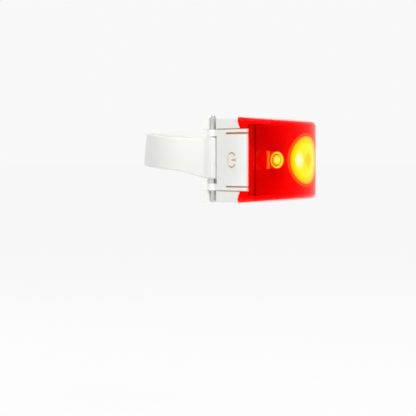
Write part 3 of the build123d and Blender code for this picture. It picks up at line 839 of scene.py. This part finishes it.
def pad_mesh():
    """A strip with grooves across its inner face, spun round the gripped axis."""
    pitch = pad_height / pad_ribs
    mesh = bmesh.new()
    bmesh.ops.create_grid(mesh, x_segments=1, y_segments=pad_ribs, size=0.5)
    bmesh.ops.scale(mesh, verts=mesh.verts, vec=(pad_thickness, pad_height, 1))
    bmesh.ops.rotate(mesh, verts=mesh.verts, cent=(0, 0, 0), matrix=Matrix.Rotation(pi / 2, 3, "X"))
    bmesh.ops.translate(mesh, verts=mesh.verts, vec=(grip_radius + pad_thickness / 2, 0, 0))
    inner = [
        edge for edge in mesh.edges
        if all(vert.co.x < grip_radius + merge_reach for vert in edge.verts)
    ]
    cuts = bmesh.ops.subdivide_edges(mesh, edges=inner, cuts=3, use_grid_fill=False)["geom_inner"]
    marks = [item for item in cuts if isinstance(item, bmesh.types.BMVert)]
    for mark in marks:
        share = (mark.co.z + pad_height / 2) / pitch % 1
        if abs(share - 0.5) < 0.1:
            mark.co.x += pad_groove
        else:
            mark.co.z += copysign(pitch / 8, 0.5 - share)
    bmesh.ops.dissolve_limit(
        mesh, angle_limit=flat_turn, verts=mesh.verts, edges=mesh.edges, delimit=set()
    )
    half = asin(pad_width / 2 / (grip_radius + pad_thickness))
    bmesh.ops.rotate(
        mesh, verts=mesh.verts, cent=(0, 0, 0), matrix=Matrix.Rotation(-pi / 2 - half, 3, "Z")
    )
    bmesh.ops.spin(
        mesh, geom=mesh.verts[:] + mesh.edges[:] + mesh.faces[:], cent=(0, 0, 0), axis=(0, 0, 1),
        angle=2 * half, steps=pad_steps, use_merge=False,
    )
    bmesh.ops.transform(mesh, verts=mesh.verts, matrix=grip_lean)
    bmesh.ops.recalc_face_normals(mesh, faces=mesh.faces)
    return mesh


pad_finish = moulded_rubber("pad_rubber", colour(0.045, 0.045, 0.05), colour(0.075, 0.075, 0.08))
place_piece("ribbed_pad", pad_mesh(), pad_finish, "light", ["saddle_pad"])


# Finishes of the parts that stay as they are

def dress(node, finish):
    """Gives a CAD part its finish and leaves its mesh as it is."""
    data = nodes[node].data
    data.materials.clear()
    data.materials.append(finish)


turned_pin = drawn_steel("turned_pin", (9000, 9000, 300))
rolled_sheet = drawn_steel("rolled_sheet", (300, 9000, 9000))
ceramic = plain_moulding(
    "ceramic", colour(0.72, 0.7, 0.64), colour(0.8, 0.79, 0.74), 0.35, 2400, 0.01
)
cream = plain_moulding("cream_moulding", colour(0.7, 0.66, 0.54), colour(0.78, 0.75, 0.64), 0.4)
grey = plain_moulding("grey_moulding", colour(0.06, 0.06, 0.064), colour(0.1, 0.1, 0.105), 0.5)
red_plate = plain_moulding("red_plate", colour(0.4, 0.01, 0.004), colour(0.5, 0.016, 0.006), 0.3)
board = circuit_board()
phosphor = lamp_phosphor()

finishes = {
    "hook_pin": turned_pin,
    "anchor_pin": turned_pin,
    "board_screws": rolled_sheet,
    "usb_port_shell": rolled_sheet,
    "lens": lens_finish,
    "main_optic": big_optic_glow(),
    "side_optics": small_optic_glow(),
    "inner_reflector": red_plate,
    "power_mark": symbol_inlay(),
    "led_board": board,
    "control_board": board,
    "main_led_base": ceramic,
    "board_capacitors": ceramic,
    "main_led_dome": phosphor,
    "side_leds": phosphor,
    "inner_chassis": grey,
    "battery": foil_pouch(),
    "battery_leads": lead_wires(),
    "battery_plug": cream,
    "switch_plunger": cream,
    "usb_port_tongue": black_moulding,
    "switch_body": black_moulding,
    "charge_chip": black_moulding,
    "driver_coil": black_moulding,
    "board_header": black_moulding,
}
for node, finish in finishes.items():
    dress(node, finish)


# Light, floor and camera

camera_turn = radians(-60)
camera_reach = 600 * mm
camera_shift = 5.97 * mm
camera_pitch = radians(1.75)
camera_lens = 136
back = Vector((sin(camera_turn), -cos(camera_turn), 0))
right = Vector((-back.y, back.x, 0))
middle = Vector((0, -15 * mm, 0))
floor_drop = 110 * mm
floor_half = 30
sky_light = 0.65
sky_seen = 0.94

# Each lamp's place from the middle and its size, in metres, and its power in watts
lamps = {
    "key": (Vector((-0.36, -0.5, 0.36)), 0.35, 2.8),
    "fill": (back * 0.5 - right * 0.45 + Vector((0, 0, 0.1)), 0.5, 0.15),
    "rear": (Vector((0.15, 0.6, 0.1)), 0.4, 0.5),
    "edge": (Vector((-0.35, 0.35, 0.5)), 0.05, 0.15),
    "top": (Vector((0, 0, 0.7)), 0.6, 1.15),
}


def turn_to(thing, way):
    """Points a lamp or the camera along a direction."""
    thing.rotation_mode = "QUATERNION"
    thing.rotation_quaternion = way.to_track_quat("-Z", "Y")


def hang_lamp(name, offset, size, power):
    """A soft square lamp that faces the middle of the light."""
    data = bpy.data.lights.new(name, "AREA")
    data.shape = "SQUARE"
    data.size = size
    data.energy = power
    lamp = linked(name, data)
    lamp.location = middle + offset
    turn_to(lamp, -offset)


def light_sky():
    """Even light all round, and nearly white where the camera sees it, also through the lens."""
    world = bpy.data.worlds.new("studio")
    bpy.context.scene.world = world
    world.use_nodes = True
    world.node_tree.nodes.clear()
    start = Wire(world.node_tree)
    camera_ray = start.node("ShaderNodeLightPath", out="Is Camera Ray")
    glass_ray = start.node("ShaderNodeLightPath", out="Is Transmission Ray")
    seen = start.maths("MAXIMUM", camera_ray, glass_ray)
    shown = mix_colours(start, seen, grey_of(sky_light), grey_of(sky_seen))
    glow = start.node("ShaderNodeBackground", {"Color": shown, "Strength": 1.0})
    start.node("ShaderNodeOutputWorld", {"Surface": glow})


def lay_floor():
    """A pale floor with a faint shadow, clear from below."""
    mesh = bmesh.new()
    bmesh.ops.create_grid(mesh, x_segments=1, y_segments=1, size=floor_half)
    bmesh.ops.translate(mesh, verts=mesh.verts, vec=(0, 0, -floor_drop))
    data = bpy.data.meshes.new("floor")
    mesh.to_mesh(data)
    mesh.free()
    linked("floor", data)
    material, start = new_surface("pale_floor")[:2]
    matt = start.node("ShaderNodeBsdfDiffuse", {"Color": grey_of(0.9)})
    white = start.node("ShaderNodeEmission", {"Color": grey_of(1.0), "Strength": 0.99})
    seen = start.node("ShaderNodeLightPath", out="Is Camera Ray")
    upper = start.node("ShaderNodeMixShader", {0: seen * 0.85, 1: matt, 2: white})
    below = start.node("ShaderNodeNewGeometry", out="Backfacing")
    clear = start.node("ShaderNodeBsdfTransparent")
    surface = start.node("ShaderNodeMixShader", {0: below, 1: upper, 2: clear})
    start.node("ShaderNodeOutputMaterial", {"Surface": surface})
    data.materials.append(material)


def set_camera():
    """The camera, nearly level with the light and on the side of its button."""
    data = bpy.data.cameras.new("camera")
    data.lens = camera_lens
    data.sensor_width = 36
    camera = linked("camera", data)
    camera.location = right * camera_shift + back * camera_reach
    turn_to(camera, -back * cos(camera_pitch) - Vector((0, 0, sin(camera_pitch))))
    bpy.context.scene.camera = camera


for name, (offset, size, power) in lamps.items():
    hang_lamp(name, offset, size, power)
light_sky()
lay_floor()
set_camera()

bpy.context.scene.view_settings.view_transform = "Standard"
